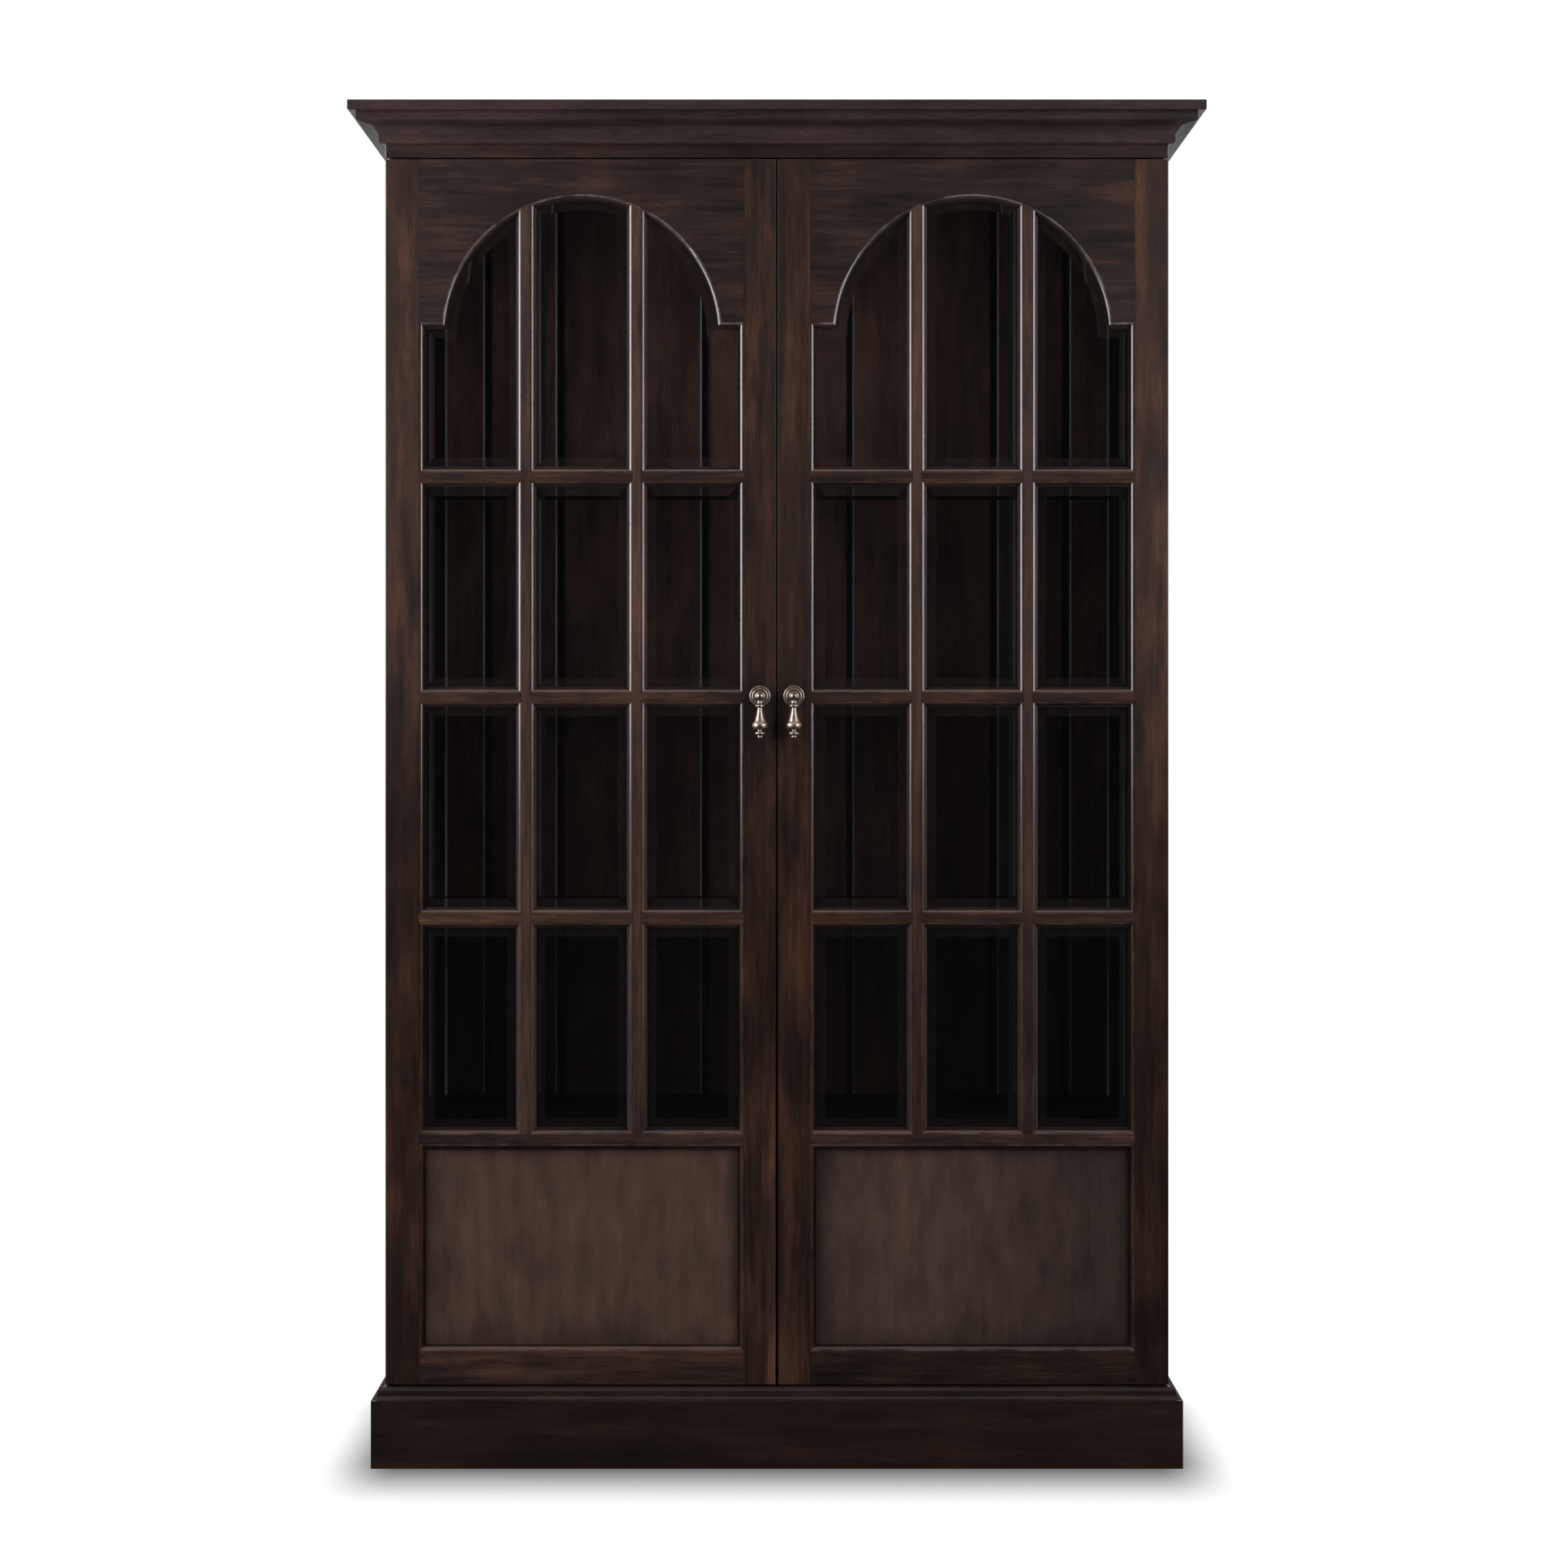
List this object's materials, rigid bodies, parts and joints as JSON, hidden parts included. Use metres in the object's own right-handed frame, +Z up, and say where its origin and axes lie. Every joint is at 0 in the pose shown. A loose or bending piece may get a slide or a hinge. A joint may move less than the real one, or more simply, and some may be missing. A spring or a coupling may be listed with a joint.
{
  "type": "bookcase with glass doors",
  "caption": "Tall bookcase with moulded cornice and plinth, swinging doors with arched bevelled glazing over flat wood panels, shelves behind them and hanging drop pulls.",
  "frame": {"origin": "middle of the footprint at floor level", "axes": "+Z up, the doors face -Y, +X to the right seen from the front"},
  "size_m": [1.397, 0.457, 2.235],
  "materials": {
    "stained_wood": "dark espresso stain under satin lacquer",
    "inner_wood": "dark espresso stain under satin lacquer",
    "panel_veneer": "dark stained veneer, fine upright grain, matt lacquer",
    "bevelled_glass": "clear, polished bevels",
    "antique_brass": "antique, burnished on the high spots",
    "hinge_steel": "plain zinc plated",
    "catch_plastic": "dark brown moulded"
  },
  "bodies": {
    "case": {"side_left": "stained_wood", "side_right": "stained_wood", "frieze_rail": "stained_wood", "crown_front": "stained_wood", "crown_left": "stained_wood", "crown_right": "stained_wood", "cornice_top": "stained_wood", "plinth_front": "stained_wood", "plinth_left": "stained_wood", "plinth_right": "stained_wood", "plinth_cap_front": "stained_wood", "plinth_cap_left": "stained_wood", "plinth_cap_right": "stained_wood", "case_top": "inner_wood", "case_bottom": "inner_wood", "fixed_shelf": "inner_wood", "shelf_lower": "inner_wood", "shelf_middle": "inner_wood", "shelf_upper": "inner_wood", "back_boards": "inner_wood", "back_battens": "inner_wood", "plinth_back": "inner_wood", "plinth_blocks": "inner_wood", "pivot_plates": "hinge_steel", "case_screws": "hinge_steel", "door_catches": "catch_plastic"},
    "left_door": {"left_hinge_stile": "stained_wood", "left_meeting_stile": "stained_wood", "left_top_rail": "stained_wood", "left_mid_rail": "stained_wood", "left_bottom_rail": "stained_wood", "left_muntin_uprights": "stained_wood", "left_muntin_bars": "stained_wood", "left_glazing_beads": "stained_wood", "left_lower_panel": "panel_veneer", "left_glass_panes": "bevelled_glass", "left_pivot_leaves": "hinge_steel", "left_strike_plate": "hinge_steel", "left_door_screws": "hinge_steel", "left_pull_rosette": "antique_brass", "left_pull_stud": "antique_brass", "left_pull_pin": "antique_brass"},
    "left_drop": {"left_pull_drop": "antique_brass"},
    "right_door": {"right_hinge_stile": "stained_wood", "right_meeting_stile": "stained_wood", "right_top_rail": "stained_wood", "right_mid_rail": "stained_wood", "right_bottom_rail": "stained_wood", "right_muntin_uprights": "stained_wood", "right_muntin_bars": "stained_wood", "right_glazing_beads": "stained_wood", "right_lower_panel": "panel_veneer", "right_glass_panes": "bevelled_glass", "right_pivot_leaves": "hinge_steel", "right_strike_plate": "hinge_steel", "right_door_screws": "hinge_steel", "right_pull_rosette": "antique_brass", "right_pull_stud": "antique_brass", "right_pull_pin": "antique_brass"},
    "right_drop": {"right_pull_drop": "antique_brass"}
  },
  "joints": [
    {"name": "left_door_swing", "type": "hinge", "parent": "case", "child": "left_door", "pos_m": [-0.638, -0.156, 0.1324], "axis": [0, 0, -1], "range_deg": [0, 105]},
    {"name": "right_door_swing", "type": "hinge", "parent": "case", "child": "right_door", "pos_m": [0.638, -0.156, 0.1324], "axis": [0, 0, 1], "range_deg": [0, 105]},
    {"name": "left_drop_swing", "type": "hinge", "parent": "left_door", "child": "left_drop", "pos_m": [-0.0279, -0.189, 1.265], "axis": [-1, 0, 0], "range_deg": [0, 170]},
    {"name": "right_drop_swing", "type": "hinge", "parent": "right_door", "child": "right_drop", "pos_m": [0.0279, -0.189, 1.265], "axis": [-1, 0, 0], "range_deg": [0, 170]}
  ]
}
